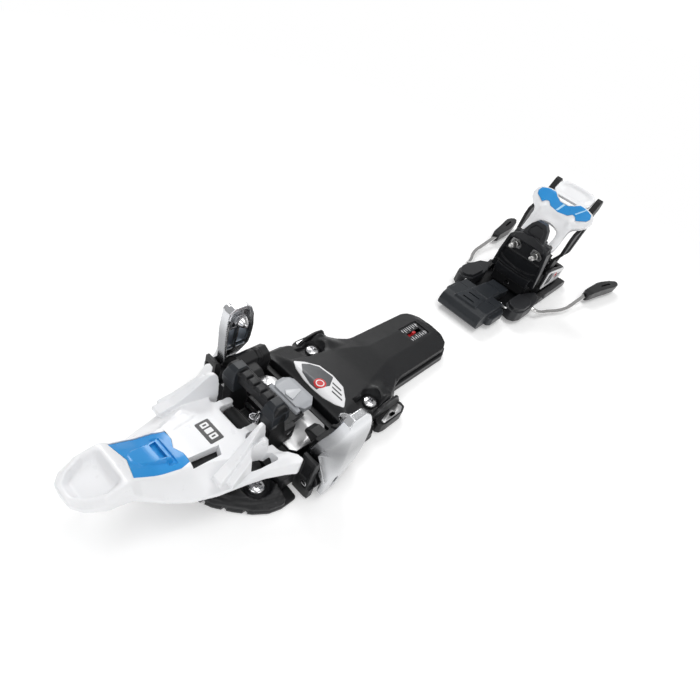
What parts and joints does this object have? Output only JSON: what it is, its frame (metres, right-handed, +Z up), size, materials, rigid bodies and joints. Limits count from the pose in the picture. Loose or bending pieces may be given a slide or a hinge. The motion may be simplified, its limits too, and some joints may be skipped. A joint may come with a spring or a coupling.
{
  "type": "touring binding",
  "caption": "Pin-style alpine touring ski binding: sprung toe unit with closing wings, step-in pedal and lever, and a sliding heel unit with pins, climbing aid and ski brake.",
  "frame": {"origin": "on the ski surface, on the ski centre line, under the toe pin line", "axes": "+X across the ski, +Y from the toe unit to the heel unit, +Z up away from the ski"},
  "size_m": [0.154, 0.6035, 0.108],
  "materials": {
    "white": "satin-gloss moulded plastic",
    "black": "fine-textured moulded plastic",
    "dark": "satin moulded plastic",
    "blue": "satin moulded plastic",
    "grey": "satin moulded plastic",
    "alloy": "satin forged aluminium",
    "steel": "polished steel",
    "plate": "brushed stainless",
    "spring": "spring wire",
    "label": "printed label",
    "red": "moulded plastic"
  },
  "bodies": {
    "root": {"toe_base_plate": "black", "screw_toe_front_l": "steel", "screw_toe_front_r": "steel", "screw_toe_rear_l": "steel", "screw_toe_rear_r": "steel", "toe_housing_cover": "black", "deck_badge": "label", "release_spring": "spring", "release_plunger": "steel", "crampon_bracket_l": "black", "crampon_bracket_r": "black", "crampon_inlay_l": "plate", "crampon_inlay_r": "plate", "heel_rail": "black", "screw_heel_front_l": "steel", "screw_heel_front_r": "steel", "screw_heel_rear_l": "steel", "screw_heel_rear_r": "steel", "brake_pad_l": "dark", "brake_pad_r": "dark", "brake_pedal_pin": "steel"},
    "release_pointer": {"release_indicator": "red"},
    "release_screw": {"release_adjust_screw": "steel"},
    "toe_slide": {"guide_plate": "plate", "toe_carriage": "black", "pedal_pin": "steel", "detent_spring": "spring", "wing_axle_l": "steel", "wing_axle_r": "steel", "lever_axle": "steel"},
    "wing_left": {"wing_l": "alloy", "wing_hub_l": "black", "toe_pin_l": "steel"},
    "wing_right": {"wing_r": "alloy", "wing_hub_r": "black", "toe_pin_r": "steel"},
    "pedal": {"step_in_pedal": "grey"},
    "lever": {"toe_lever": "white", "lever_inlay": "blue"},
    "heel_slide": {"heel_carriage": "black", "side_plate_l": "label", "side_plate_r": "label"},
    "length_screw": {"length_adjust_screw": "steel"},
    "tower": {"heel_tower": "dark", "heel_release_spring": "spring", "heel_lever_axle": "steel", "aid_axle": "steel"},
    "release_cap": {"heel_release_screw": "steel"},
    "heel_pin_left": {"heel_pin_l": "steel"},
    "heel_pin_right": {"heel_pin_r": "steel"},
    "yoke": {"heel_lever": "white", "heel_lever_inlay": "blue"},
    "climbing_aid": {"aid_arm_l": "black", "aid_arm_r": "black", "aid_flap": "white"},
    "brake_pedal_body": {"brake_pedal": "dark"},
    "brake_arms": {"brake_wire_l": "steel", "brake_wire_r": "steel", "brake_tip_l": "black", "brake_tip_r": "black"}
  },
  "joints": [
    {"name": "lateral_release", "type": "slide", "parent": "root", "child": "toe_slide", "axis": [1, 0, 0], "range_m": [-0.006, 0.006]},
    {"name": "wing_left_close", "type": "hinge", "parent": "toe_slide", "child": "wing_left", "pos_m": [-0.044, 0, 0.0095], "axis": [0, 1, 0], "range_deg": [0, 15]},
    {"name": "wing_right_close", "type": "hinge", "parent": "toe_slide", "child": "wing_right", "pos_m": [0.044, 0, 0.0095], "axis": [0, -1, 0], "range_deg": [0, 15]},
    {"name": "pedal_press", "type": "hinge", "parent": "toe_slide", "child": "pedal", "pos_m": [0, -0.009, 0.019], "axis": [-1, 0, 0], "range_deg": [0, 7.5]},
    {"name": "toe_lever_tilt", "type": "hinge", "parent": "toe_slide", "child": "lever", "pos_m": [0, -0.033, 0.026], "axis": [1, 0, 0], "range_deg": [-8, 12]},
    {"name": "release_pointer_travel", "type": "slide", "parent": "root", "child": "release_pointer", "axis": [0, 1, 0], "range_m": [-0.0045, 0.0045]},
    {"name": "release_screw_turn", "type": "hinge", "parent": "root", "child": "release_screw", "pos_m": [0, 0.133, 0.0072], "axis": [0, 1, 0], "range_deg": [-1080, 1080]},
    {"name": "length_adjust", "type": "slide", "parent": "root", "child": "heel_slide", "axis": [0, 1, 0], "range_m": [-0.0125, 0.0125]},
    {"name": "length_screw_turn", "type": "hinge", "parent": "root", "child": "length_screw", "pos_m": [0, 0.318, 0.0095], "axis": [0, 1, 0], "range_deg": [-1800, 1800]},
    {"name": "walk_retract", "type": "slide", "parent": "heel_slide", "child": "tower", "axis": [0, 1, 0], "range_m": [0, 0.01]},
    {"name": "heel_lever_tilt", "type": "hinge", "parent": "tower", "child": "yoke", "pos_m": [0, 0.331, 0.056], "axis": [1, 0, 0], "range_deg": [0, 20]},
    {"name": "release_cap_turn", "type": "hinge", "parent": "tower", "child": "release_cap", "pos_m": [0, 0.337, 0.0578], "axis": [0, 0, 1], "range_deg": [-720, 720]},
    {"name": "heel_pin_left_spread", "type": "hinge", "parent": "tower", "child": "heel_pin_left", "pos_m": [-0.0115, 0.3195, 0.0508], "axis": [0, 0, -1], "range_deg": [0, 5]},
    {"name": "heel_pin_right_spread", "type": "hinge", "parent": "tower", "child": "heel_pin_right", "pos_m": [0.0115, 0.3195, 0.0508], "axis": [0, 0, 1], "range_deg": [0, 5]},
    {"name": "climbing_aid_swing", "type": "hinge", "parent": "tower", "child": "climbing_aid", "pos_m": [0, 0.352, 0.03], "axis": [-1, 0, 0], "range_deg": [0, 35]},
    {"name": "brake_deploy", "type": "hinge", "parent": "root", "child": "brake_arms", "pos_m": [0, 0.304, 0.009], "axis": [-1, 0, 0], "range_deg": [0, 45]},
    {"name": "brake_pedal_lift", "type": "hinge", "parent": "root", "child": "brake_pedal_body", "pos_m": [0, 0.298, 0.0106], "axis": [-1, 0, 0], "range_deg": [0, 18]}
  ],
  "couplings": [
    {"joint": "wing_right_close", "follows": "wing_left_close", "ratio": 1},
    {"joint": "pedal_press", "follows": "wing_left_close", "ratio": 0.5},
    {"joint": "release_screw_turn", "follows": "release_pointer_travel", "rad_per_m": 4188.8},
    {"joint": "length_screw_turn", "follows": "length_adjust", "rad_per_m": 2513.3},
    {"joint": "heel_lever_tilt", "follows": "walk_retract", "rad_per_m": 34.906},
    {"joint": "heel_pin_right_spread", "follows": "heel_pin_left_spread", "ratio": 1},
    {"joint": "brake_pedal_lift", "follows": "brake_deploy", "ratio": 0.4}
  ]
}
